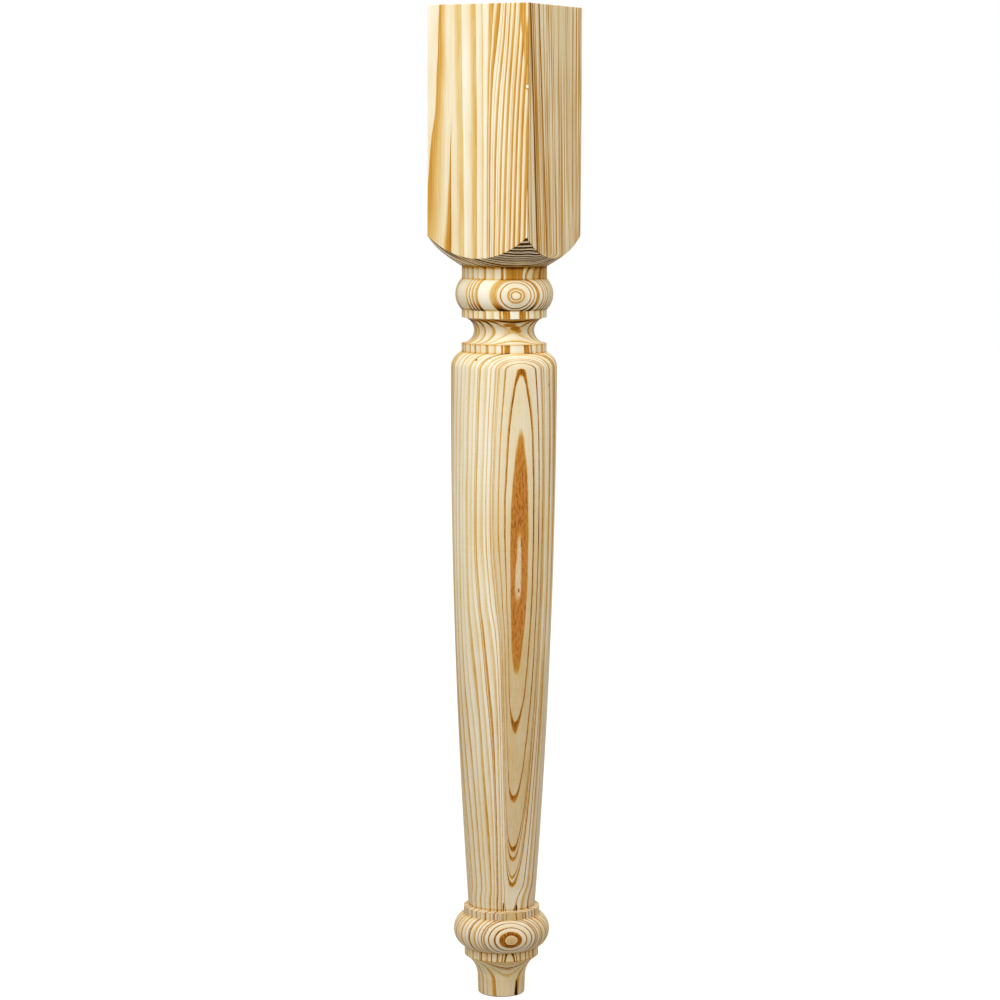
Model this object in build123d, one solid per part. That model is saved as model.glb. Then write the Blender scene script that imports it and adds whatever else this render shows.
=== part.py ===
from build123d import *
from math import hypot, sqrt
import os

# Farmhouse dining table leg, turned from one length of square pine stock.
# The top is left square for the table's aprons, and everything below it is round.
# Millimetres. The origin is the middle of the foot's underside, +Z is up, and the
# faces of the square block look along X and Y.

# Stock
leg_height = 736.6           # 29 inch leg
stock_width = 83.0           # side of the square section
arris_ease = 0.4             # sanded edges of the block
turning_allowance = 2.25     # from a face of the stock in to the largest round

# Block and the pommel that takes its corners away
block_length = 166.2         # straight length of the block's corner edges
pommel_height = 22.6         # from the end of those edges down to the neck
pommel_bulge = 1.7           # how far the pommel's arc stands out of its chord
neck_depth = 7.85            # neck and fillets, below the largest round
neck_length = 8.9

# Bead, cove and shoulder above the shaft
bead_height = 23.0
bead_depth = 3.05            # below the largest round
upper_fillet_height = 5.6
cove_height = 19.2
cove_depth = 9.15            # below the fillets beside it
lower_fillet_height = 6.1
shoulder_height = 11.8

# Shaft, which swells slightly between its ends
shaft_end_diameter = 50.0    # at the collar

# Collar, ball and ring at the bottom of the shaft
collar_projection = 3.45     # beyond the end of the shaft
collar_slope = 1.0           # drop of the collar's top face
collar_height = 5.3
ball_height = 25.4
ball_depth = 3.25            # below the largest round
ring_height = 6.5
ring_projection = 10.0       # beyond the ankle

# Foot
foot_cove_height = 17.6
ankle_diameter = 35.7
foot_height = 12.2
foot_taper = 0.4             # on each side, from the ankle to the ground
foot_ease = 0.8              # chamfer round the underside

# Drying crack that opens at the underside of the foot, with a chip beside its mouth
crack_angle = -21.4          # round the leg from +X
crack_height = 11.5
crack_mouth = 1.2
crack_depth = 6.0
chip_width = 1.6
chip_height = 1.4

# Nick in the corner edge of the block between +X and -Y
nick_drop = 59.0             # below the top
nick_radius = 0.9

# Radii that follow from the sizes above
face_distance = stock_width / 2
corner_radius = face_distance * sqrt(2)
largest_radius = face_distance - turning_allowance
neck_radius = largest_radius - neck_depth
bead_radius = largest_radius - bead_depth
shaft_end_radius = shaft_end_diameter / 2
collar_radius = shaft_end_radius + collar_projection
ball_radius = largest_radius - ball_depth
ankle_radius = ankle_diameter / 2
ring_radius = ankle_radius + ring_projection
foot_radius = ankle_radius - foot_taper

# Levels counted up from the ground
ring_bottom = foot_height + foot_cove_height
ring_top = ring_bottom + ring_height
ball_top = ring_top + ball_height
collar_edge = ball_top + collar_height
shaft_bottom = collar_edge + collar_slope

# Levels counted down from the top: the shaft takes up what is left between
pommel_top = leg_height - block_length
pommel_bottom = pommel_top - pommel_height
bead_top = pommel_bottom - neck_length
bead_bottom = bead_top - bead_height
cove_top = bead_bottom - upper_fillet_height
cove_bottom = cove_top - cove_height
shoulder_top = cove_bottom - lower_fillet_height
shaft_top = shoulder_top - shoulder_height


def swelling(start, end, peak_radius):
    """Arc between two levels that reaches peak_radius halfway between them."""
    return ThreePointArc(start, (peak_radius, (start[1] + end[1]) / 2), end)


def pommel_arc(neck, corner):
    """Convex arc from the neck out to the corner edges of the block."""
    run, rise = corner[0] - neck[0], corner[1] - neck[1]
    chord = hypot(run, rise)
    middle = (
        (neck[0] + corner[0]) / 2 + pommel_bulge * rise / chord,
        (neck[1] + corner[1]) / 2 - pommel_bulge * run / chord,
    )
    return ThreePointArc(neck, middle, corner)


def turned_envelope():
    """What the lathe would leave of a blank with no limit to its width."""
    underside = (foot_radius - foot_ease, 0)
    foot_edge = (foot_radius, foot_ease)
    ankle = (ankle_radius, foot_height)
    ring_low, ring_high = (ring_radius, ring_bottom), (ring_radius, ring_top)
    collar_low, collar_high = (collar_radius, ball_top), (collar_radius, collar_edge)
    shaft_low, shaft_high = (shaft_end_radius, shaft_bottom), (largest_radius, shaft_top)
    shoulder = (neck_radius, shoulder_top)
    cove_low, cove_high = (neck_radius, cove_bottom), (neck_radius, cove_top)
    cove_middle = (neck_radius, (cove_bottom + cove_top) / 2)
    bead_low, bead_high = (neck_radius, bead_bottom), (neck_radius, bead_top)
    neck = (neck_radius, pommel_bottom)
    corner = (corner_radius, pommel_top)
    clear = corner_radius + turning_allowance    # outside the block, so its faces stay whole

    with BuildSketch(Plane.XZ) as half_section:
        with BuildLine():
            Polyline((0, 0), underside, foot_edge, ankle)
            TangentArc(ankle, ring_low, tangent=(0, 1))
            Line(ring_low, ring_high)
            swelling(ring_high, collar_low, ball_radius)
            Polyline(collar_low, collar_high, shaft_low)
            TangentArc(shaft_high, shaft_low, tangent=(0, -1))
            TangentArc(shaft_high, shoulder, tangent=(0, 1))
            Line(shoulder, cove_low)
            EllipticalCenterArc(cove_middle, cove_depth, cove_height / 2, start_angle=90, arc_size=180)
            Line(cove_high, bead_low)
            swelling(bead_low, bead_high, bead_radius)
            Line(bead_high, neck)
            pommel_arc(neck, corner)
            Polyline(corner, (clear, pommel_top), (clear, leg_height), (0, leg_height), (0, 0))
        make_face()
    return revolve(half_section.sketch, axis=Axis.Z)


def square_stock():
    """The blank before turning, with its long edges and its top edges eased."""
    blank = Box(stock_width, stock_width, leg_height, align=(Align.CENTER, Align.CENTER, Align.MIN))
    top_edges = blank.faces().sort_by(Axis.Z)[-1].edges()
    return chamfer(blank.edges().filter_by(Axis.Z) + top_edges, arris_ease)


def drying_crack():
    """Wedge of air that opens at the ground and closes upwards, along one radius."""
    mouth = crack_mouth / 2
    opening = Polyline(
        (-mouth - chip_width, -foot_ease),
        (mouth, -foot_ease),
        (0, crack_height),
        (-mouth, chip_height),
        (-mouth - chip_width, -foot_ease),
    )
    across = Plane(
        origin=(foot_radius + foot_ease, 0, 0), x_dir=(0, 1, 0), z_dir=(1, 0, 0)
    )
    wedge = extrude(across * make_face(opening), amount=-(crack_depth + foot_ease))
    return Rot(0, 0, crack_angle) * wedge


def corner_nick():
    """Dent left by a knock on the corner edge nearest the front, a round notch across it."""
    across_edge = Pos(face_distance, -face_distance, leg_height - nick_drop) * Rot(0, 0, 45)
    return across_edge * Rot(0, 90, 0) * Cylinder(nick_radius, 4 * nick_radius)


leg = square_stock() & turned_envelope()
leg = leg - drying_crack() - corner_nick()

os.makedirs("parts", exist_ok=True)
export_step(leg, "parts/leg.step")
print(f"leg {leg.volume / 1000:.0f} cm3, widest round {2 * largest_radius:.1f} mm, "
      f"shaft {shaft_top - shaft_bottom:.1f} mm long")
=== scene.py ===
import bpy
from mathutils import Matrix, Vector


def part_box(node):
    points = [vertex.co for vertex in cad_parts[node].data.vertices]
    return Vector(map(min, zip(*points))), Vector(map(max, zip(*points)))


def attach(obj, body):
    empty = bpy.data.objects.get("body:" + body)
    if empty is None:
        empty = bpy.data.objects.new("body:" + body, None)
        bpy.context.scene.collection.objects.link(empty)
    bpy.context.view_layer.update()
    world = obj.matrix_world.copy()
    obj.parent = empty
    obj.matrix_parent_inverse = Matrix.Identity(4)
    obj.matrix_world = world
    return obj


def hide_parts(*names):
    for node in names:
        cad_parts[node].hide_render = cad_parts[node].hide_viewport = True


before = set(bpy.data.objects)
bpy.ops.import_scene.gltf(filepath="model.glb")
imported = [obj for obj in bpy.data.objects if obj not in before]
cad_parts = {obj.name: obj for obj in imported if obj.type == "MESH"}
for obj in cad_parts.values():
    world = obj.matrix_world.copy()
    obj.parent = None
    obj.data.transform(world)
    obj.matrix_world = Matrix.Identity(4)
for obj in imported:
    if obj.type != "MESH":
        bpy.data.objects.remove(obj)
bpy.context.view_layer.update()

from math import atan, atan2, cos, hypot, pi, radians, sin, sqrt, tan

import bmesh
import bpy
from mathutils import Matrix, Vector

mm = 0.001
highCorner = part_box("leg")[1]
legHeight = highCorner.z / mm
blockFace = highCorner.x / mm        # from the axis to a face of the block

print("shaping the leg")

# Sizes in millimetres. Heights are stacked up from the foot and down from the top.
leg = {
    "allowance": 2.25,               # from a block face in to the largest round
    "arrisEase": 0.4,
    "blockLength": 166.2,
    "pommelHeight": 22.6,
    "pommelBulge": 1.7,
    "neckDepth": 7.85,
    "neckLength": 8.9,
    "beadHeight": 23.0,
    "beadDepth": 3.05,
    "upperFillet": 5.6,
    "coveHeight": 19.2,
    "coveDepth": 9.15,
    "lowerFillet": 6.1,
    "shoulderHeight": 11.8,
    "shaftEndRadius": 25.0,
    "collarStep": 3.45,
    "collarSlope": 1.0,
    "collarHeight": 5.3,
    "ballHeight": 25.4,
    "ballDepth": 3.25,
    "ringHeight": 6.5,
    "ringStep": 10.0,
    "footCove": 17.6,
    "ankleRadius": 17.85,
    "footHeight": 12.2,
    "footTaper": 0.4,
    "footEase": 0.8,
    "crackAngle": -21.4,             # round the leg from +X
    "crackHeight": 11.5,
    "crackMouth": 1.2,
    "crackDepth": 6.0,
    "chipWidth": 1.6,
    "chipHeight": 1.4,
    "nickDrop": 59.0,                # from the top of the block
    "nickRadius": 0.9,
    "turnSteps": 192,                # faces round the turning
    "arcSteps": 20,                  # faces along each moulding
    "creaseAngle": 18,
}

# Radii that follow from the sizes, then levels counted up from the ground and down from the top
largestRadius = blockFace - leg["allowance"]
neckRadius = largestRadius - leg["neckDepth"]
collarRadius = leg["shaftEndRadius"] + leg["collarStep"]
ringFoot = leg["footHeight"] + leg["footCove"]
ballFoot = ringFoot + leg["ringHeight"]
ballTop = ballFoot + leg["ballHeight"]
collarTop = ballTop + leg["collarHeight"]
shaftFoot = collarTop + leg["collarSlope"]
pommelTop = legHeight - leg["blockLength"]
pommelFoot = pommelTop - leg["pommelHeight"]
beadTop = pommelFoot - leg["neckLength"]
beadFoot = beadTop - leg["beadHeight"]
coveTop = beadFoot - leg["upperFillet"]
coveFoot = coveTop - leg["coveHeight"]
shoulderTop = coveFoot - leg["lowerFillet"]
shaftTop = shoulderTop - leg["shoulderHeight"]


def penLine(bm, tip, radius, height):
    end = bmesh.ops.extrude_vert_indiv(bm, verts=[tip])["verts"][0]
    end.co = (radius * mm, 0, height * mm)
    return end


def penArc(bm, tip, radius, height, bulge, steps):
    # bulge is how far the arc stands out of its chord, outwards if positive
    start, end = Vector((tip.co.x, tip.co.z)), Vector((radius, height)) * mm
    chord = end - start
    bulge *= mm
    arcRadius = (chord.length_squared / 4 + bulge ** 2) / (2 * bulge)
    outward = Vector((chord.y, -chord.x)).normalized()
    centre = (start + end) / 2 + outward * (bulge - arcRadius)
    angle = -4 * atan(2 * bulge / chord.length)
    turned = bmesh.ops.spin(
        bm, geom=[tip], cent=(centre.x, 0, centre.y), axis=(0, 1, 0), dvec=(0, 0, 0),
        angle=angle, steps=steps, use_merge=False, use_duplicate=False,
    )
    return [part for part in turned["geom_last"] if isinstance(part, bmesh.types.BMVert)][0]


def upright(run, rise):
    # bulge of an arc that starts or ends along the axis
    return hypot(run, rise) / 2 * tan(atan2(run, rise) / 2)


def makeTurning(bm, s):
    ankle = s["ankleRadius"]
    ring = ankle + s["ringStep"]
    corner = blockFace * sqrt(2)
    clear = corner + s["allowance"]
    steps = s["arcSteps"]
    tip = bm.verts.new(((ankle - s["footTaper"] - s["footEase"]) * mm, 0, 0))
    tip = penLine(bm, tip, ankle - s["footTaper"], s["footEase"])
    tip = penLine(bm, tip, ankle, s["footHeight"])
    tip = penArc(bm, tip, ring, ringFoot, -upright(s["ringStep"], s["footCove"]), steps)
    tip = penLine(bm, tip, ring, ballFoot)
    ballBulge = largestRadius - s["ballDepth"] - (ring + collarRadius) / 2
    tip = penArc(bm, tip, collarRadius, ballTop, ballBulge, steps)
    tip = penLine(bm, tip, collarRadius, collarTop)
    tip = penLine(bm, tip, s["shaftEndRadius"], shaftFoot)
    shaftBulge = upright(largestRadius - s["shaftEndRadius"], shaftTop - shaftFoot)
    tip = penArc(bm, tip, largestRadius, shaftTop, shaftBulge, 2 * steps)
    shoulderBulge = upright(s["neckDepth"], s["shoulderHeight"])
    tip = penArc(bm, tip, neckRadius, shoulderTop, shoulderBulge, steps)
    tip = penLine(bm, tip, neckRadius, coveFoot)
    tip = penArc(bm, tip, neckRadius, coveTop, -s["coveDepth"], 2 * steps)
    tip = penLine(bm, tip, neckRadius, beadFoot)
    tip = penArc(bm, tip, neckRadius, beadTop, s["neckDepth"] - s["beadDepth"], steps)
    tip = penLine(bm, tip, neckRadius, pommelFoot)
    tip = penArc(bm, tip, corner, pommelTop, s["pommelBulge"], steps)
    tip = penLine(bm, tip, clear, pommelTop)
    penLine(bm, tip, clear, legHeight)
    bmesh.ops.spin(
        bm, geom=bm.verts[:] + bm.edges[:], cent=(0, 0, 0), axis=(0, 0, 1), dvec=(0, 0, 0),
        angle=2 * pi, steps=s["turnSteps"], use_merge=True, use_duplicate=False,
    )
    bmesh.ops.remove_doubles(bm, verts=bm.verts, dist=0.001 * mm)
    bmesh.ops.holes_fill(bm, edges=bm.edges[:], sides=0)


def sawBlock(bm, s):
    for x, y in ((1, 0), (-1, 0), (0, 1), (0, -1)):
        cut = bmesh.ops.bisect_plane(
            bm, geom=bm.verts[:] + bm.edges[:] + bm.faces[:], dist=0.0001 * mm,
            plane_co=(x * blockFace * mm, y * blockFace * mm, 0), plane_no=(x, y, 0), clear_outer=True,
        )
        rim = [part for part in cut["geom_cut"] if isinstance(part, bmesh.types.BMEdge)]
        bmesh.ops.holes_fill(bm, edges=rim, sides=0)
    bmesh.ops.recalc_face_normals(bm, faces=bm.faces)
    near = 0.01 * mm
    inner = blockFace * mm - near
    arrises = [e for e in bm.edges if all(min(abs(v.co.x), abs(v.co.y)) > inner for v in e.verts)]
    rim = [
        e for e in bm.edges
        if all(abs(v.co.z - legHeight * mm) < near for v in e.verts) and e not in arrises
    ]
    bmesh.ops.bevel(
        bm, geom=arrises + rim, offset=s["arrisEase"] * mm, offset_type="OFFSET", segments=2,
        affect="EDGES", profile=0.5, material=-1,
    )


def makeObject(bm, name):
    bmesh.ops.recalc_face_normals(bm, faces=bm.faces)
    mesh = bpy.data.meshes.new(name)
    bm.to_mesh(mesh)
    bm.free()
    made = bpy.data.objects.new(name, mesh)
    bpy.context.scene.collection.objects.link(made)
    return made


def cutAway(piece, cutter):
    trim = piece.modifiers.new("cut", "BOOLEAN")
    trim.operation = "DIFFERENCE"
    trim.solver = "EXACT"
    trim.object = cutter
    bpy.context.view_layer.objects.active = piece
    bpy.ops.object.modifier_apply(modifier=trim.name)
    bpy.data.objects.remove(cutter)


def footCrack(s):
    bm = bmesh.new()
    rim = s["ankleRadius"] + s["footEase"]
    mouth = s["crackMouth"] / 2
    opening = [
        (-mouth - s["chipWidth"], -s["footEase"]),
        (mouth, -s["footEase"]),
        (0, s["crackHeight"]),
        (-mouth, s["chipHeight"]),
    ]
    outline = bm.faces.new([bm.verts.new((rim * mm, y * mm, z * mm)) for y, z in opening])
    inward = bmesh.ops.extrude_face_region(bm, geom=[outline])["geom"]
    moved = [part for part in inward if isinstance(part, bmesh.types.BMVert)]
    depth = s["crackDepth"] + s["footEase"] + s["footTaper"]
    bmesh.ops.translate(bm, verts=moved, vec=(-depth * mm, 0, 0))
    bmesh.ops.rotate(bm, verts=bm.verts, matrix=Matrix.Rotation(radians(s["crackAngle"]), 3, "Z"))
    return makeObject(bm, "footCrack")


def cornerNick(s):
    bm = bmesh.new()
    place = Matrix.Translation(Vector((blockFace, -blockFace, legHeight - s["nickDrop"])) * mm)
    place @= Matrix.Rotation(radians(45), 4, "Z") @ Matrix.Rotation(radians(90), 4, "Y")
    radius = s["nickRadius"] * mm
    bmesh.ops.create_cone(
        bm, cap_ends=True, segments=32, radius1=radius, radius2=radius, depth=4 * radius, matrix=place,
    )
    return makeObject(bm, "cornerNick")


def makeLeg(s):
    bm = bmesh.new()
    makeTurning(bm, s)
    sawBlock(bm, s)
    piece = makeObject(bm, "turnedLeg")
    cutAway(piece, footCrack(s))
    cutAway(piece, cornerNick(s))
    piece.data.polygons.foreach_set("use_smooth", [True] * len(piece.data.polygons))
    piece.data.set_sharp_from_angle(angle=radians(s["creaseAngle"]))
    return piece


turnedLeg = makeLeg(leg)
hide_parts("leg")
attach(turnedLeg, "root")

print("pine")

# The figure is solid wood: a point's colour comes from how far it lies from the pith of the tree,
# which runs outside the leg. Lengths in millimetres, colours as the eye reads them, 0 to 255.
# Unless a note says otherwise, a pair is where a fade from 0 to 1 starts and ends, and four numbers
# are a fade's start and end and then its two levels. Longer lists of pairs are curves over height.
# A side is a distance from the upright plane through the axis and, nearly, the front corner of the
# block: to the left of it if positive.
pine = {
    "pithMiddle": (340, 133),        # height where the pith's curve is centred, and its unit
    "pith": (
        # x and y there, and what the first, second and third power of the height add
        (-60.6, 55.6), (0.5, -4.1), (0.8, 1.42), (0.87, 1.04),
    ),
    "pithSpan": (20, 480),           # heights between which the pith curves
    "blockLean": (0.012, 0.0115),    # of the pith above the shaft, for each mm of height
    "turnAcross": (0.737, 0.676),    # the pith moves this way to turn the figure round the leg
    "turn": ((0, 10.9), (72, 10.9), (90, 0), (480, 0), (520, 4.6), (740, 4.6)),
    "flank": (-0.676, -0.737),       # horizontal direction from the front to the left side
    "shaftEnd": (480, 540, 1, 0),    # heights where the shaft's own bends fade out
    "leftSwell": 0.0019,             # of the rings on the left side, by the square of the distance
    "swellTurn": 0.25,               # where the swell changes its sign, in the pith's units
    "leftBend": (
        (0, -5), (116, -6), (176, -5.5), (236, -4.5), (276, -3.2), (311, -1.5), (400, 0), (740, 0),
    ),
    "bendSide": (4, 18),
    "bendFarSide": (26, 38, 1, 0),
    "footLevel": -1.5,               # of the rings below the shaft
    "neckFoot": (536, 540),
    "neckLevel": (548, 556, -0.45, 0),
    "beadSwell": 0.4,                # how far the rings follow the bead out, and the ball
    "ballSwell": 0.43,
    "edgeRadius": 106,               # the left edge of the block lies inside this radius
    "edgeLean": (
        (560, 0.45), (600, 0.3), (620, 0.21), (642, 0.11), (658, 0), (674, -0.09), (706, -0.28),
        (736, -0.58),
    ),
    "frontRadius": (115.5, 126),
    "frontLean": ((560, 0), (650, -1.8), (736, -5.6), (740, -5.7)),
    "rightSide": (-2, -12),
    "rightFoot": (540, 556),
    "rightLean": (560, 740, 2, -2.6),
    "loopLevel": (
        (0, 0), (95, 0), (120, -0.05), (150, -0.09), (206, -0.12), (226, -0.03), (242, 0), (272, 0),
        (300, 0.02), (330, 0), (358, -0.02), (388, 0), (408, 0), (432, 0.045), (462, 0), (740, 0),
    ),
    "waves": (8, 30, 0.12, 1.1),     # size of the rings' waves, by how far they are to either side
    "ripples": 0.1,
    "rings": (
        # inner edge, outer edge, darkness, softness of the inner edge
        (88.6, 89.2, 0.42, 0.8),
        (93.6, 94.2, 0.44, 0.8),
        (98.0, 98.6, 0.46, 0.8),
        (101.2, 101.6, 0.30, 0.5),
        (104.4, 105.1, 0.46, 0.8),
        (107.3, 107.7, 0.28, 0.4),
        (109.15, 109.38, 0.56, 0.1),
        (109.74, 110.42, 0.60, 0.06),
        (112.4, 113.0, 0.36, 0.6),
        (114.08, 114.20, 0.62, 0.12),
        (115.42, 115.54, 0.62, 0.06),
        (115.68, 115.73, 0.56, 0.04),
        (116.14, 116.20, 0.62, 0.05),
        (116.38, 116.46, 0.70, 0.05),
        (117.50, 117.60, 0.70, 0.06),
        (118.70, 118.80, 0.70, 0.06),
        (119.51, 119.868, 0.62, 0.10),
        (121.0, 121.3, 0.60, 0.3),
        (122.5, 122.8, 0.60, 0.3),
        (124.0, 124.3, 0.60, 0.3),
        (125.5, 125.8, 0.60, 0.3),
    ),
    "beadRings": (
        (98.2, 98.8, 0.40, 0.5),
        (100.2, 100.7, 0.44, 0.4),
        (102.0, 102.6, 0.46, 0.5),
        (104.0, 104.8, 0.46, 1.2),
        (109.4, 110.5, 0.36, 0.6),
        (110.62, 110.70, 0.46, 0.06),
        (111.22, 111.36, 0.60, 0.06),
        (112.11, 112.16, 0.56, 0.03),
        (112.22, 112.26, 0.56, 0.02),
        (112.37, 112.41, 0.56, 0.02),
    ),
    "beadRightRings": (
        (98.0, 98.5, 0.50, 0.4),
        (99.6, 99.9, 0.44, 0.3),
        (101.2, 101.7, 0.54, 0.4),
        (102.8, 103.1, 0.42, 0.3),
        (104.4, 104.9, 0.54, 0.4),
        (106.0, 106.3, 0.44, 0.2),
        (107.3, 107.7, 0.54, 0.2),
        (109.2, 109.9, 0.56, 0.4),
        (110.45, 110.70, 0.50, 0.1),
        (111.22, 111.36, 0.60, 0.06),
        (112.11, 112.16, 0.56, 0.03),
        (112.22, 112.26, 0.56, 0.02),
        (112.37, 112.41, 0.56, 0.02),
    ),
    "blockRings": (
        (96.0, 97.5, 0.30, 1.0),
        (107.2, 108.6, 0.30, 0.8),
        (111.9, 113.5, 0.34, 0.9),
        (115.8, 116.1, 0.30, 0.3),
        (117.7, 118.1, 0.40, 0.3),
        (118.5, 119.0, 0.50, 0.3),
        (119.7, 119.85, 0.34, 0.15),
        (120.6, 121.2, 0.50, 0.4),
        (121.9, 122.05, 0.32, 0.15),
        (122.9, 123.5, 0.50, 0.5),
        (125.0, 126.0, 0.50, 0.6),
        (127.1, 127.3, 0.34, 0.2),
        (128.0, 128.8, 0.52, 0.6),
        (130.4, 131.2, 0.54, 0.7),
        (133.0, 134.0, 0.54, 0.8),
        (135.9, 136.9, 0.52, 0.8),
    ),
    "ringSpans": (
        # radii between which one curve is read
        (84, 108.7), (108.7, 113.6), (113.6, 117.0), (117.0, 120.0), (120.0, 138),
    ),
    "ringEdge": 0.05,
    "ringStart": 0.85,               # share of a ring's darkness at its inner edge
    "leastGap": 0.02,
    "springShade": 0.10,             # how far the wood darkens before the next ring starts
    "springRate": 0.1,               # and how fast, for each mm
    "sideGrowth": 0.13,              # of the thin rings, inwards, away from the front
    "growthSide": (5, 13),
    "beadRightSide": (-2, -5),
    "figureChange": (546, 558),      # heights between which the block's rings take over
    "paleSide": (7, 15),             # the left side of the shaft
    "paleTop": (484, 476),
    "paleness": (200, 330, 0.1, 0.38),
    "boldCollar": (0.2, -0.1, 1, 1.2),  # by height from the foot of the shaft
    "broadRing": 102.2,              # inner edge of the wide ring at the left of the block
    "broadEdge": (0, 0.12),
    "broadShade": (2.6, 0.2, 0, 0.46),
    "wedgeRadius": 105.5,
    "wedgeWidth": (664, 566, 0.02, 1.5),
    "wedgeEdge": (0, 0.15),
    "wedgeShare": (1, 0.2),
    "wedgeTip": (668, 655, 0, 0.6),
    "narrowRings": (0.48, 0.60, 0.04, 0.52),
    "narrowSide": (-15, -25),
    "narrowTop": (552, 544, 0, 0.85),
    "narrowRadius": (90, 86),        # nearer to the pith all rings are narrow
    "fineLines": (0.49, 0.59, 0.07, 0.5),
    "widePart": 0.15,                # how far wide lines shift the fine ones
    "fan": -0.00087,                 # spread of the right face's lines, for each mm downwards
    "rightFaceSide": (2.4, 2.0),
    "rightFaceDepth": (0.5, 0.3),
    "cornerLines": (
        # on the right face: distance from the front corner at the top, lean, half width, darkness
        (0.9, 0.004, 0.8, 0.5),
        (2.1, 0.03, 0.8, 0.44),
        (3.8, 0.0686, 1.15, 0.88),
        (6.4, 0.070, 1.0, 0.6),
        (9.2, 0.073, 0.9, 0.5),
        (16.1, 0.0805, 1.3, 0.66),
    ),
    "heartRadius": (113.5, 117),     # inside the loops of the shaft
    "heartTop": 480,
    "heartShade": (420, 260, 0.08, 0.19),
    "footShade": (0, -0.2, 0, 0.12),  # least darkness, by height from the foot of the ball
    "targetRadius": (119.85, 120),   # the middle of the round target on the ball
    "targetShade": 0.22,
    "markEdge": (1, 0.6),            # of the marks below, in their own sizes
    "fibreContrast": (0.3, 0.7, 0.84, 1.12),
    "fibreShade": (0.25, 0.75, -0.03, 0.06),
    "cloudShade": (0.3, 0.7, -0.02, 0.08),
    "mottle": (0.3, 0.7, -0.12, 0.16),
    "mottledDarkness": (0.3, 0.7),
    "mottledTop": (540, 530),
    "latheMarks": (570, 540, 0, 0.06),
    "underside": (-0.2, -0.75),      # painted shade, by how far the surface looks down
    "undersideFoot": 480,
    "boldness": (0.1, 0.32, 0.1, 1),  # the painted shade's darkness there, by the darkness of the wood
    "leftFaceDepth": 0.3,
    "patchWidth": (672, 734, 0.3, 9),
    "patchFoot": (668, 680),
    "patchShade": (1, 0.6, 0, 0.52),
    "patchFibre": (0.35, 0.6, 0.7, 1.1),
    # painted highlight beside the edge at the top of the front corner
    "highlightWidth": (2.2, 1),
    "highlightFoot": (714, 730, 0, 0.8),
    "highlightDarkness": 0.06,
    "marks": (
        # place, half width and half height, darkness: resin, torn fibres and short cracks
        ((-2.4, -36.9, 480.5), 1.1, 1.3, 0.80),
        ((27.2, -25.1, 311.5), 0.7, 2.2, 0.85),
        ((13.5, -21.4, 71.0), 0.6, 5.0, 0.95),
        ((20.7, -14.3, 70.0), 0.9, 3.6, 1.0),
        ((39.2, -2.6, 461.5), 0.7, 2.0, 0.65),
        ((38.8, -0.5, 399.0), 0.6, 2.0, 0.60),
        ((27.0, -25.6, 402.0), 1.4, 7.0, 0.82),
        ((26.0, -26.6, 372.0), 1.0, 5.0, 0.80),
        ((28.6, -24.0, 348.0), 1.0, 8.0, 0.82),
        ((41.5, -41.5, 677.6), 2.6, 3.2, 0.60),
        ((15.6, -19.0, 505.3), 6.5, 1.9, 0.60),
        ((17.3, -14.2, 502.9), 5.0, 2.3, 0.68),
        ((18.5, -12.2, 500.9), 3.4, 1.8, 0.58),
    ),
    "corners": (
        # painted shade in each inner corner of the turning: height, half height, added darkness
        (547.8, 2.4, 0.40),
        (538.9, 1.2, 0.22),
        (516.7, 1.0, 0.30),
        (508.5, 2.1, 0.50),
        (491.1, 1.0, 0.20),
        (485.0, 1.0, 0.25),
        (68.9, 1.2, 0.22),
        (61.4, 1.0, 0.12),
        (36.3, 1.0, 0.25),
        (29.8, 0.8, 0.20),
    ),
    "neckShade": (-5, -18, 0, 0.28),  # painted shade, partly darker wood, on the right of the neck
    # painted highlight in the nick, fading out between these distances from its middle
    "nickHighlight": (1.3, 1.7),
    "crackLips": (0, 14, 1.9, 0.5),  # half width of the painted shade and dirt, by height
    "crackEdge": (1.15, 0.75),
    "crackTop": (15, 11),
    "crackInner": 10,                # from the axis of the leg
    "woodTones": (
        # darkness and colour, from spring wood to the heart of a late ring
        (0.0, (254, 249, 233)),
        (0.14, (243, 229, 193)),
        (0.3, (232, 201, 134)),
        (0.45, (216, 165, 76)),
        (0.6, (196, 135, 44)),
        (0.75, (160, 98, 28)),
        (0.88, (112, 64, 22)),
        (1.0, (58, 33, 15)),
    ),
    "shadeAndGreyTone": (0.82, 0.78, 0.76),  # what the wood's colour is multiplied by where it is greyer and under painted shade
    "agedLoops": (450, 200, 0.2, 1),
    "agedTop": (735, 736),
    "upward": (0.8, 0.95),
    # painted shade low down, most of all on the right
    "lowShadeSide": (-9, -21, 0.55, 0.9),
    "lowShadeHeights": (340, 180),
    "lowShadeFoot": (3, 0),              # by height from the top of the foot
    "islandInner": (119.45, 119.6),
    "islandOuter": (119.98, 119.85),
    "islandTop": 470,
    "islandStreaks": (0.38, 0.62, 0.72, 0.1),
    "islandTone": (214, 136, 72),
    "grains": {
        # noises: cells for each mm across the grain and along it, detail, roughness
        "wave": (0.045, 0.013, 1.5, 0.5),
        "ripple": (0.25, 0.05, 1.0, 0.5),
        "narrow": (0.42, 0.0015, 2.5, 0.75),
        "fine": (0.5, 0.004, 2.5, 0.75),
        "wide": (0.12, 0.003, 1.0, 0.5),
        "fibre": (1.6, 0.03, 3.0, 0.6),
        "cloud": (0.06, 0.012, 2.0, 0.5),
        "hatch": (0.9, 0.25, 3.0, 0.6),
        "lathe": (0.02, 1.3, 1.0, 0.5),
    },
    "roughness": (0, 0.8, 0.56, 0.42),  # by darkness
    "bump": (0.06, 0.6),             # depth and strength
    "specular": 0.03,
}


def fromEye(colour):
    # linear colour of a shade given as 0 to 255
    parts = [part / 255 for part in colour]
    return tuple(c / 12.92 if c < 0.04045 else ((c + 0.055) / 1.055) ** 2.4 for c in parts) + (1,)


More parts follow.
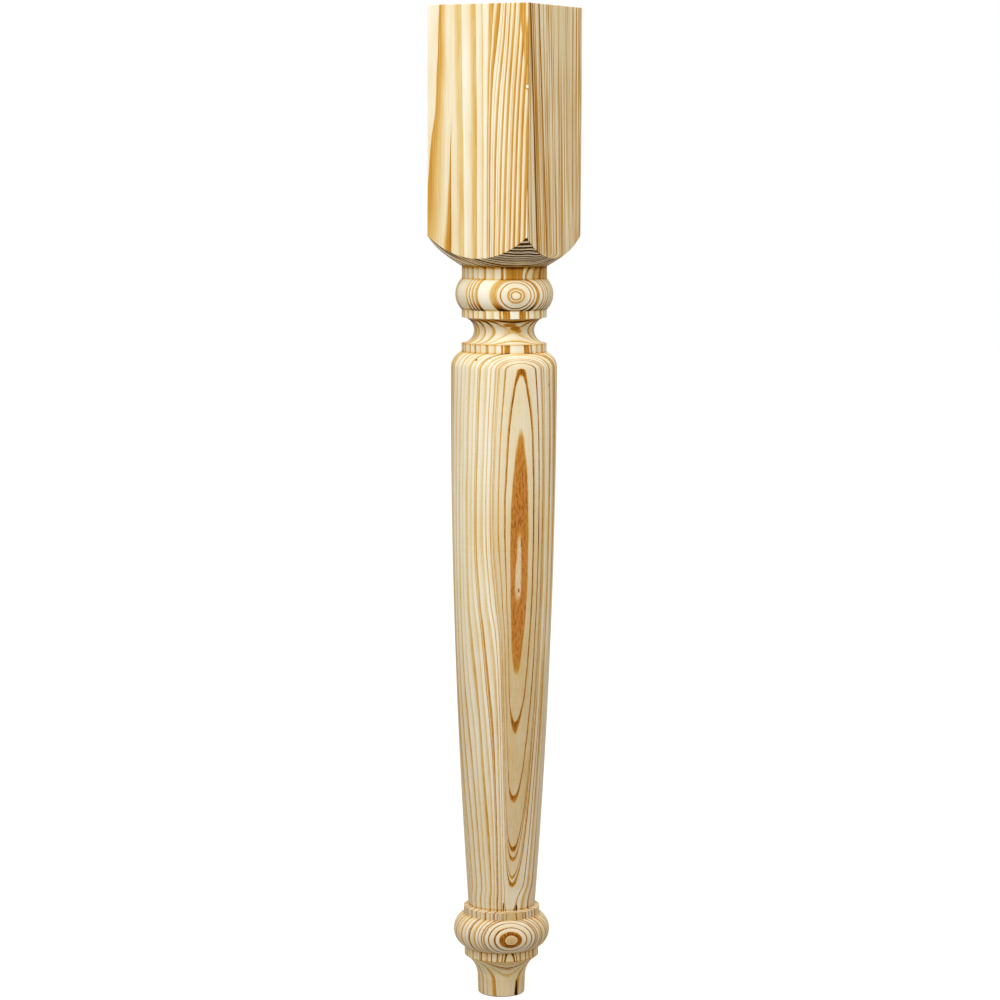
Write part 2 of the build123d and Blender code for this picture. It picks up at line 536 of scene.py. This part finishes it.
def feed(tree, node, values, first=0):
    for socket, value in zip(node.inputs[first:], values):
        if isinstance(value, bpy.types.NodeSocket):
            tree.links.new(value, socket)
        else:
            socket.default_value = value


def maths(tree, operation, *values):
    node = tree.nodes.new("ShaderNodeMath")
    node.operation = operation
    feed(tree, node, values)
    return node.outputs[0]


def plus(tree, first, *others):
    for other in others:
        first = maths(tree, "ADD", first, other)
    return first


def minus(tree, first, second):
    return maths(tree, "SUBTRACT", first, second)


def times(tree, first, *others):
    for other in others:
        first = maths(tree, "MULTIPLY", first, other)
    return first


def highest(tree, first, *others):
    for other in others:
        first = maths(tree, "MAXIMUM", first, other)
    return first


def vectors(tree, operation, *values):
    node = tree.nodes.new("ShaderNodeVectorMath")
    node.operation = operation
    feed(tree, node, values)
    return node.outputs["Value" if operation in ("LENGTH", "DOT_PRODUCT") else "Vector"]


def together(tree, x, y, z):
    node = tree.nodes.new("ShaderNodeCombineXYZ")
    feed(tree, node, (x, y, z))
    return node.outputs[0]


def apart(tree, vector):
    node = tree.nodes.new("ShaderNodeSeparateXYZ")
    tree.links.new(vector, node.inputs[0])
    return node.outputs


def rise(tree, value, start, end, low=0.0, high=1.0, kind="SMOOTHSTEP"):
    node = tree.nodes.new("ShaderNodeMapRange")
    node.interpolation_type = kind
    feed(tree, node, (value, start, end, low, high))
    return node.outputs[0]


def evenly(tree, value, start, end, low=0.0, high=1.0):
    return rise(tree, value, start, end, low, high, "LINEAR")


def between(tree, height, low, high):
    above = maths(tree, "GREATER_THAN", height, low)
    return times(tree, above, maths(tree, "LESS_THAN", height, high))


def mixed(tree, amount, below, above):
    node = tree.nodes.new("ShaderNodeMix")
    node.clamp_factor = True
    feed(tree, node, (amount,))
    feed(tree, node, (below, above), 2)
    return node.outputs[0]


def blend(tree, amount, below, above, kind="MIX"):
    # as mixed, for colours
    node = tree.nodes.new("ShaderNodeMix")
    node.data_type = "RGBA"
    node.blend_type = kind
    feed(tree, node, (amount,))
    feed(tree, node, (below, above), 6)
    return node.outputs[2]


def along(tree, value, points, handle="AUTO_CLAMPED"):
    # a curve through given points, read at value
    places = [place for place, level in points]
    levels = [level for place, level in points]
    low, high = min(levels), max(levels)
    node = tree.nodes.new("ShaderNodeFloatCurve")
    curve = node.mapping.curves[0]
    spots = [
        ((place - places[0]) / (places[-1] - places[0]), (level - low) / (high - low))
        for place, level in points
    ]
    curve.points[0].location = spots[0]
    curve.points[-1].location = spots[-1]
    for spot in spots[1:-1]:
        curve.points.new(*spot)
    for point in curve.points:
        point.handle_type = handle
    node.mapping.update()
    tree.links.new(evenly(tree, value, places[0], places[-1]), node.inputs["Value"])
    return evenly(tree, node.outputs[0], 0, 1, low, high)


def grain(tree, place, s, name):
    across, lengthways, detail, roughness = s["grains"][name]
    node = tree.nodes.new("ShaderNodeTexNoise")
    feed(tree, node, (vectors(tree, "MULTIPLY", place, (across, across, lengthways)),))
    node.inputs["Scale"].default_value = 1
    node.inputs["Detail"].default_value = detail
    node.inputs["Roughness"].default_value = roughness
    return node.outputs["Fac"]


def ringDarkness(tree, radius, rings, s, growth=0.0):
    # one curve for each span of radii, because a curve is only read at 256 places
    spans = []
    for start, end in s["ringSpans"]:
        points = [(start, 0)]
        for inner, outer, darkness, softness in rings:
            if start < inner < end:
                last = points[-1][0]
                begin = max(inner - softness - growth, last + s["leastGap"])
                points.append((begin, min(s["springShade"], s["springRate"] * (begin - last))))
                points.append((inner - growth, s["ringStart"] * darkness))
                points.append((outer, darkness))
                points.append((outer + s["ringEdge"], 0))
        if len(points) > 1:
            spans.append(along(tree, radius, points + [(end, 0)], "VECTOR"))
    return highest(tree, *spans)


def followSwellings(tree, flat, height, s):
    # on the bead and the ball the rings stand out with the turning, so they show as round targets
    reach = vectors(tree, "LENGTH", flat)
    bead = highest(tree, minus(tree, reach, neckRadius), 0.0)
    bead = times(tree, bead, between(tree, height, beadFoot, beadTop), 1 - s["beadSwell"])
    ball = highest(tree, minus(tree, reach, collarRadius), 0.0)
    ball = times(tree, ball, between(tree, height, ballFoot, ballTop), 1 - s["ballSwell"])
    cut = maths(tree, "DIVIDE", plus(tree, bead, ball), highest(tree, reach, 1.0))
    return vectors(tree, "MULTIPLY", flat, minus(tree, 1.0, cut))


def pithCurve(tree, height, q, s):
    steps = together(tree, q, q, 0.0)
    pith = (*s["pith"][3], 0)
    for term in reversed(s["pith"][:3]):
        pith = vectors(tree, "MULTIPLY_ADD", steps, pith, (*term, 0))
    above = highest(tree, minus(tree, height, s["pithSpan"][1]), 0.0)
    lean = vectors(tree, "MULTIPLY", above, (*s["blockLean"], 0))
    turn = vectors(tree, "MULTIPLY", along(tree, height, s["turn"]), (*s["turnAcross"], 0))
    return vectors(tree, "ADD", vectors(tree, "ADD", pith, lean), turn)


def shaftBends(tree, height, side, q, s):
    # below the block the rings on the left bend inwards, and small steps in level shape the loops
    left = highest(tree, side, 0.0)
    swell = times(tree, left, left, s["leftSwell"], q, minus(tree, s["swellTurn"], q))
    near = times(tree, rise(tree, side, *s["bendSide"]), rise(tree, side, *s["bendFarSide"]))
    bend = times(tree, near, along(tree, height, s["leftBend"]))
    onShaft = maths(tree, "GREATER_THAN", height, ballTop)
    bends = times(tree, plus(tree, swell, bend), onShaft, rise(tree, height, *s["shaftEnd"]))
    foot = times(tree, maths(tree, "LESS_THAN", height, ballTop), s["footLevel"])
    neck = times(tree, rise(tree, height, *s["neckFoot"]), rise(tree, height, *s["neckLevel"]))
    return plus(tree, bends, foot, neck, along(tree, height, s["loopLevel"]))


def blockLeans(tree, height, side, radius, s):
    # on the block the rings at its left edge and those at its front corner lean apart
    edge = highest(tree, minus(tree, s["edgeRadius"], radius), 0.0)
    edge = times(tree, edge, along(tree, height, s["edgeLean"]))
    front = times(tree, rise(tree, radius, *s["frontRadius"]), along(tree, height, s["frontLean"]))
    tilt = times(tree, plus(tree, edge, front), rise(tree, height, *s["figureChange"]))
    right = times(tree, rise(tree, side, *s["rightSide"]), rise(tree, height, *s["rightFoot"]))
    right = times(tree, right, evenly(tree, height, *s["rightLean"]))
    return plus(tree, tilt, right)


def ringRadius(tree, place, height, side, s):
    # distance from the pith, with the waves and leans of the real rings
    middle, unit = s["pithMiddle"]
    within = evenly(tree, height, *s["pithSpan"], *s["pithSpan"])
    q = maths(tree, "DIVIDE", minus(tree, within, middle), unit)
    flat = followSwellings(tree, vectors(tree, "MULTIPLY", place, (1, 1, 0)), height, s)
    fromPith = vectors(tree, "SUBTRACT", flat, pithCurve(tree, height, q, s))
    radius = vectors(tree, "LENGTH", fromPith)
    radius = plus(tree, radius, shaftBends(tree, height, side, q, s))
    radius = plus(tree, radius, blockLeans(tree, height, side, radius, s))
    loose = rise(tree, maths(tree, "ABSOLUTE", side), *s["waves"])
    wave = times(tree, minus(tree, grain(tree, place, s, "wave"), 0.5), loose)
    ripple = times(tree, minus(tree, grain(tree, place, s, "ripple"), 0.5), s["ripples"])
    return plus(tree, radius, wave, ripple)


def findPlaces(tree, s):
    # where a point of the wood lies, for all that follows
    coordinates = tree.nodes.new("ShaderNodeTexCoord")
    place = vectors(tree, "MULTIPLY", coordinates.outputs["Object"], (1 / mm, 1 / mm, 1 / mm))
    x, y, height = apart(tree, place)
    side = vectors(tree, "DOT_PRODUCT", place, (*s["flank"], 0))
    radius = ringRadius(tree, place, height, side, s)
    loops = rise(tree, radius, *s["heartRadius"])
    target = rise(tree, radius, *s["targetRadius"])
    return {
        "place": place,
        "x": x,
        "y": y,
        "height": height,
        "side": side,
        "radius": radius,
        "upward": apart(tree, coordinates.outputs["Normal"])["Z"],
        "onBlock": rise(tree, height, *s["figureChange"]),
        "onBead": between(tree, height, beadFoot, beadTop),
        "inLoops": times(tree, loops, between(tree, height, ballTop, s["heartTop"])),
        "onTarget": times(tree, target, between(tree, height, ballFoot, ballTop)),
        "fibre": grain(tree, place, s, "fibre"),
        "hatch": grain(tree, place, s, "hatch"),
    }


def turnedRings(tree, at, s):
    height, side, radius = at["height"], at["side"], at["radius"]
    thin = ringDarkness(tree, radius, s["rings"], s)
    thick = ringDarkness(tree, radius, s["rings"], s, s["sideGrowth"])
    rings = mixed(tree, rise(tree, maths(tree, "ABSOLUTE", side), *s["growthSide"]), thin, thick)
    beadLeft = ringDarkness(tree, radius, s["beadRings"], s)
    beadRight = ringDarkness(tree, radius, s["beadRightRings"], s)
    bead = mixed(tree, rise(tree, side, *s["beadRightSide"]), beadLeft, beadRight)
    rings = mixed(tree, at["onBead"], rings, bead)
    # on the left side of the shaft they are paler, on the collar and the ball bolder
    pale = times(tree, rise(tree, side, *s["paleSide"]), rise(tree, height, *s["paleTop"]))
    pale = times(tree, pale, rise(tree, height, *s["paleness"]))
    bolder = evenly(tree, minus(tree, height, shaftFoot), *s["boldCollar"])
    return times(tree, rings, minus(tree, 1.0, pale), bolder)


def leftFaceBands(tree, at, s):
    # on the left face of the block: a wide ring, sharp on the pith's side, and a wedge low down
    depth = minus(tree, at["radius"], s["broadRing"])
    broad = times(tree, rise(tree, depth, *s["broadEdge"]), evenly(tree, depth, *s["broadShade"]))
    gap = minus(tree, s["wedgeRadius"], at["radius"])
    width = evenly(tree, at["height"], *s["wedgeWidth"])
    share = maths(tree, "DIVIDE", gap, width)
    wedge = times(tree, rise(tree, gap, *s["wedgeEdge"]), rise(tree, share, *s["wedgeShare"]))
    wedge = times(tree, wedge, rise(tree, at["height"], *s["wedgeTip"]))
    return times(tree, highest(tree, broad, wedge), at["onBlock"])


def addNarrowRings(tree, at, darkness, s):
    # behind and on the right the rings are narrow and uneven
    rounds = together(tree, at["radius"], 0.0, at["height"])
    narrow = rise(tree, grain(tree, rounds, s, "narrow"), *s["narrowRings"])
    right = rise(tree, at["side"], *s["narrowSide"])
    right = times(tree, right, rise(tree, at["height"], *s["narrowTop"]))
    right = times(tree, right, minus(tree, 1.0, at["onBead"]))
    around = highest(tree, right, rise(tree, at["radius"], *s["narrowRadius"]))
    return mixed(tree, around, darkness, narrow)


def addRightFace(tree, at, darkness, s):
    # fine straight lines, spread out like a fan, and a few strong ones by the front corner
    drop = minus(tree, legHeight, at["height"])
    across = minus(tree, blockFace, at["y"])
    fanned = maths(tree, "DIVIDE", across, maths(tree, "MULTIPLY_ADD", drop, s["fan"], 1.0))
    straight = together(tree, at["x"], mixed(tree, at["onBlock"], at["y"], fanned), at["height"])
    wide = times(tree, minus(tree, grain(tree, straight, s, "wide"), 0.5), s["widePart"])
    lines = rise(tree, plus(tree, wide, grain(tree, straight, s, "fine")), *s["fineLines"])
    fromCorner = plus(tree, blockFace, at["y"])
    for start, lean, half, level in s["cornerLines"]:
        gap = minus(tree, maths(tree, "MULTIPLY_ADD", drop, -lean, fromCorner), start)
        line = rise(tree, maths(tree, "ABSOLUTE", gap), half, 0.5 * half, 0, level)
        lines = highest(tree, lines, times(tree, line, at["onBlock"]))
    onFace = rise(tree, minus(tree, blockFace, at["x"]), *s["rightFaceDepth"])
    onFace = times(tree, onFace, rise(tree, at["side"], *s["rightFaceSide"]))
    return mixed(tree, onFace, darkness, lines)


def heartWood(tree, at, s):
    # the wood is browner inside the loops of the shaft, most of all low down, below the ball and in
    # the ball's target
    height = at["height"]
    heart = times(tree, at["inLoops"], rise(tree, height, *s["heartShade"]))
    foot = rise(tree, minus(tree, height, ballFoot), *s["footShade"])
    return highest(tree, heart, foot, times(tree, at["onTarget"], s["targetShade"]))


def addFibres(tree, at, darkness, s):
    cloud = evenly(tree, grain(tree, at["place"], s, "cloud"), *s["cloudShade"])
    darkness = times(tree, darkness, evenly(tree, at["fibre"], *s["fibreContrast"]))
    darkness = plus(tree, darkness, cloud, evenly(tree, at["fibre"], *s["fibreShade"]))
    # torn fibres mottle the darkest wood, and the lathe left faint marks round the turning
    mottle = evenly(tree, at["hatch"], *s["mottle"])
    mottle = times(tree, mottle, rise(tree, darkness, *s["mottledDarkness"]))
    mottle = times(tree, mottle, rise(tree, at["height"], *s["mottledTop"]))
    lathe = minus(tree, grain(tree, at["place"], s, "lathe"), 0.5)
    lathe = times(tree, lathe, rise(tree, at["height"], *s["latheMarks"]))
    return plus(tree, darkness, mottle, lathe)


def shadeUndersides(tree, at, darkness, s):
    # painted shade where the surface looks down: the wood's darkness is pushed up there, with more
    # contrast
    under = rise(tree, at["upward"], *s["underside"])
    under = times(tree, under, maths(tree, "GREATER_THAN", at["height"], s["undersideFoot"]))
    return mixed(tree, under, darkness, rise(tree, darkness, *s["boldness"]))


def stainAndHighlightFrontCorner(tree, at, darkness, s):
    # a resin-stained patch at the top of the front corner, with a painted highlight beside the edge
    height = at["height"]
    fromEdge = minus(tree, blockFace, at["x"])
    onLeft = maths(tree, "LESS_THAN", at["y"], s["leftFaceDepth"] - blockFace)
    share = maths(tree, "DIVIDE", fromEdge, evenly(tree, height, *s["patchWidth"]))
    patch = times(tree, rise(tree, share, *s["patchShade"]), rise(tree, height, *s["patchFoot"]))
    patch = times(tree, patch, rise(tree, at["fibre"], *s["patchFibre"]), onLeft)
    # painted highlight: a pale streak beside the edge at the top of the front corner
    paintedHighlight = times(tree, rise(tree, fromEdge, *s["highlightWidth"]), rise(tree, height, *s["highlightFoot"]))
    return mixed(tree, times(tree, paintedHighlight, onLeft), highest(tree, darkness, patch), s["highlightDarkness"])


def addMarks(tree, at, darkness, s):
    for spot, across, tall, level in s["marks"]:
        gap = vectors(tree, "SUBTRACT", at["place"], spot)
        gap = vectors(tree, "MULTIPLY", gap, (1 / across, 1 / across, 1 / tall))
        mark = rise(tree, vectors(tree, "LENGTH", gap), *s["markEdge"], 0, level)
        darkness = highest(tree, darkness, mark)
    # painted shade in each inner corner of the turning
    for level, half, shade in s["corners"]:
        gap = maths(tree, "ABSOLUTE", minus(tree, at["height"], level))
        darkness = plus(tree, darkness, rise(tree, gap, half, 0, 0, shade))
    # painted shade, partly darker wood, on the right of the neck
    onNeck = between(tree, at["height"], beadTop, pommelFoot)
    darkness = plus(tree, darkness, times(tree, onNeck, rise(tree, at["side"], *s["neckShade"])))
    # painted highlight: the nick is made palest
    nick = vectors(tree, "SUBTRACT", at["place"], (blockFace, -blockFace, legHeight - leg["nickDrop"]))
    return times(tree, darkness, rise(tree, vectors(tree, "LENGTH", nick), *s["nickHighlight"]))


def crackShadeAndDirt(tree, at, s):
    # painted shade with some dirt in the crack of the foot and along its lips
    angle = radians(leg["crackAngle"])
    aside = vectors(tree, "DOT_PRODUCT", at["place"], (-sin(angle), cos(angle), 0))
    outward = vectors(tree, "DOT_PRODUCT", at["place"], (cos(angle), sin(angle), 0))
    lips = evenly(tree, at["height"], *s["crackLips"])
    shadeAndDirt = maths(tree, "DIVIDE", maths(tree, "ABSOLUTE", aside), lips)
    shadeAndDirt = times(tree, rise(tree, shadeAndDirt, *s["crackEdge"]), rise(tree, at["height"], *s["crackTop"]))
    return times(tree, shadeAndDirt, maths(tree, "GREATER_THAN", outward, s["crackInner"]))


def whereShadeAndGrey(tree, at, s):
    # the wood is greyer low in the loops, on the collar, in the ball's target and on the top end,
    # and painted shade darkens all round the lower shaft, the ball and the foot, most of all on the right
    height = at["height"]
    loops = times(tree, at["inLoops"], rise(tree, height, *s["agedLoops"]))
    top = times(tree, rise(tree, at["upward"], *s["upward"]), rise(tree, height, *s["agedTop"]))
    foot = rise(tree, minus(tree, height, leg["footHeight"]), *s["lowShadeFoot"])
    low = highest(tree, foot, maths(tree, "GREATER_THAN", height, ballFoot))
    low = times(tree, low, rise(tree, height, *s["lowShadeHeights"]), rise(tree, at["side"], *s["lowShadeSide"]))
    collar = between(tree, height, ballTop + 0.01, shaftFoot)
    return highest(tree, loops, top, low, collar, at["onTarget"])


def woodColour(tree, at, darkness, s):
    ramp = tree.nodes.new("ShaderNodeValToRGB")
    tree.links.new(darkness, ramp.inputs[0])
    stops = ramp.color_ramp.elements
    tones = [(spot, fromEye(colour)) for spot, colour in s["woodTones"]]
    stops[0].position, stops[0].color = tones[0]
    stops[1].position, stops[1].color = tones[-1]
    for spot, colour in tones[1:-1]:
        stops.new(spot).color = colour
    shadeAndGrey = whereShadeAndGrey(tree, at, s)
    colour = blend(tree, shadeAndGrey, ramp.outputs["Color"], (*s["shadeAndGreyTone"], 1), "MULTIPLY")
    # the long island is redder than the rings round it
    island = times(
        tree, rise(tree, at["radius"], *s["islandInner"]), rise(tree, at["radius"], *s["islandOuter"]),
        rise(tree, at["hatch"], *s["islandStreaks"]), between(tree, at["height"], ballTop, s["islandTop"]),
    )
    return blend(tree, island, colour, fromEye(s["islandTone"]))


def makePine(s):
    material = bpy.data.materials.new("pine")
    material.use_nodes = True
    tree = material.node_tree
    at = findPlaces(tree, s)
    blockRings = ringDarkness(tree, at["radius"], s["blockRings"], s)
    darkness = mixed(tree, at["onBlock"], turnedRings(tree, at, s), blockRings)
    darkness = highest(tree, darkness, leftFaceBands(tree, at, s))
    darkness = addNarrowRings(tree, at, darkness, s)
    darkness = addRightFace(tree, at, darkness, s)
    darkness = highest(tree, darkness, heartWood(tree, at, s))
    darkness = addFibres(tree, at, darkness, s)
    darkness = shadeUndersides(tree, at, darkness, s)
    darkness = stainAndHighlightFrontCorner(tree, at, darkness, s)
    darkness = addMarks(tree, at, darkness, s)
    darkness = highest(tree, darkness, crackShadeAndDirt(tree, at, s))
    shader = tree.nodes["Principled BSDF"]
    tree.links.new(woodColour(tree, at, darkness, s), shader.inputs["Base Color"])
    tree.links.new(evenly(tree, darkness, *s["roughness"]), shader.inputs["Roughness"])
    bump = tree.nodes.new("ShaderNodeBump")
    depth, strength = s["bump"]
    bump.inputs["Distance"].default_value = depth * mm
    bump.inputs["Strength"].default_value = strength
    tree.links.new(plus(tree, at["fibre"], darkness), bump.inputs["Height"])
    tree.links.new(bump.outputs[0], shader.inputs["Normal"])
    shader.inputs["Specular IOR Level"].default_value = s["specular"]
    return material


turnedLeg.data.materials.append(makePine(pine))

print("floor, light and camera")

# Lengths in metres
studio = {
    "floorSize": 12.0,
    "floorTone": 0.46,               # what the leg's underside sees
    "floorGlow": 0.8,                # what the camera sees, before light and shadow
    "floorShade": 0.35,
    "skyLow": 0.42,                  # at the horizon
    "skyHigh": 0.9,                  # overhead
    "skyTint": (255, 250, 241),
    "keyPower": 16.3,
    "keySize": 1.0,
    "keyBearing": 22,                # degrees from square on to the -Y face, to the right
    "keyReach": 1.1,
    "keyHeight": 1.6,
    "keyAim": 0.75,
}


def lookedAt(tree):
    # 1 where the camera sees the place, straight or in a gloss or a glass
    seen = tree.nodes.new("ShaderNodeLightPath").outputs
    return highest(tree, seen["Is Camera Ray"], seen["Is Glossy Ray"], seen["Is Transmission Ray"])


def diffuse(tree, tone):
    node = tree.nodes.new("ShaderNodeBsdfDiffuse")
    node.inputs["Color"].default_value = (tone, tone, tone, 1)
    return node.outputs[0]


def makeFloor(s):
    bpy.ops.mesh.primitive_plane_add(size=s["floorSize"])
    floor = bpy.context.object
    floor.name = "floor"
    material = bpy.data.materials.new("paleFloor")
    material.use_nodes = True
    tree = material.node_tree
    tree.nodes.clear()
    glow = tree.nodes.new("ShaderNodeEmission")
    glow.inputs["Strength"].default_value = s["floorGlow"]
    white = tree.nodes.new("ShaderNodeAddShader")
    feed(tree, white, (diffuse(tree, s["floorShade"]), glow.outputs[0]))
    choose = tree.nodes.new("ShaderNodeMixShader")
    feed(tree, choose, (lookedAt(tree), diffuse(tree, s["floorTone"]), white.outputs[0]))
    output = tree.nodes.new("ShaderNodeOutputMaterial")
    tree.links.new(choose.outputs[0], output.inputs["Surface"])
    floor.data.materials.append(material)


def makeSky(s):
    world = bpy.data.worlds.new("studio")
    bpy.context.scene.world = world
    world.use_nodes = True
    tree = world.node_tree
    sky = tree.nodes["Background"]
    coordinates = tree.nodes.new("ShaderNodeTexCoord")
    upward = apart(tree, coordinates.outputs["Generated"])["Z"]
    light = evenly(tree, upward, 0, 1, s["skyLow"], s["skyHigh"])
    looks = lookedAt(tree)
    tree.links.new(mixed(tree, looks, light, 1.0), sky.inputs["Strength"])
    tree.links.new(blend(tree, looks, fromEye(s["skyTint"]), (1, 1, 1, 1)), sky.inputs["Color"])


def makeKey(s):
    lamp = bpy.data.lights.new("key", "AREA")
    lamp.energy = s["keyPower"]
    lamp.shape = "DISK"
    lamp.size = s["keySize"]
    holder = bpy.data.objects.new("key", lamp)
    spot = Matrix.Rotation(radians(s["keyBearing"]), 3, "Z") @ Vector((0, -s["keyReach"], s["keyHeight"]))
    holder.location = spot
    holder.rotation_euler = (Vector((0, 0, s["keyAim"])) - spot).to_track_quat("-Z", "Y").to_euler()
    bpy.context.scene.collection.objects.link(holder)


makeFloor(studio)
makeSky(studio)
makeKey(studio)

# Millimetres and degrees; azimuth 0 looks square at the -Y face
shot = {
    "azimuth": 29.25,
    "distance": 2176.2,
    "sideways": -2.52,
    "height": 624.0,
    "pitch": 6.546,
    "roll": 0.247,
    "lens": 106.11,
}


def makeCamera(s):
    camera = bpy.data.objects.new("camera", bpy.data.cameras.new("camera"))
    bpy.context.scene.collection.objects.link(camera)
    camera.data.lens = s["lens"]
    place = Matrix.Rotation(radians(s["azimuth"]), 4, "Z")
    place @= Matrix.Translation(Vector((s["sideways"], -s["distance"], s["height"])) * mm)
    place @= Matrix.Rotation(pi / 2 - radians(s["pitch"]), 4, "X")
    place @= Matrix.Rotation(radians(s["roll"]), 4, "Z")
    camera.matrix_world = place
    bpy.context.scene.camera = camera


makeCamera(shot)
bpy.context.scene.view_settings.view_transform = "Standard"
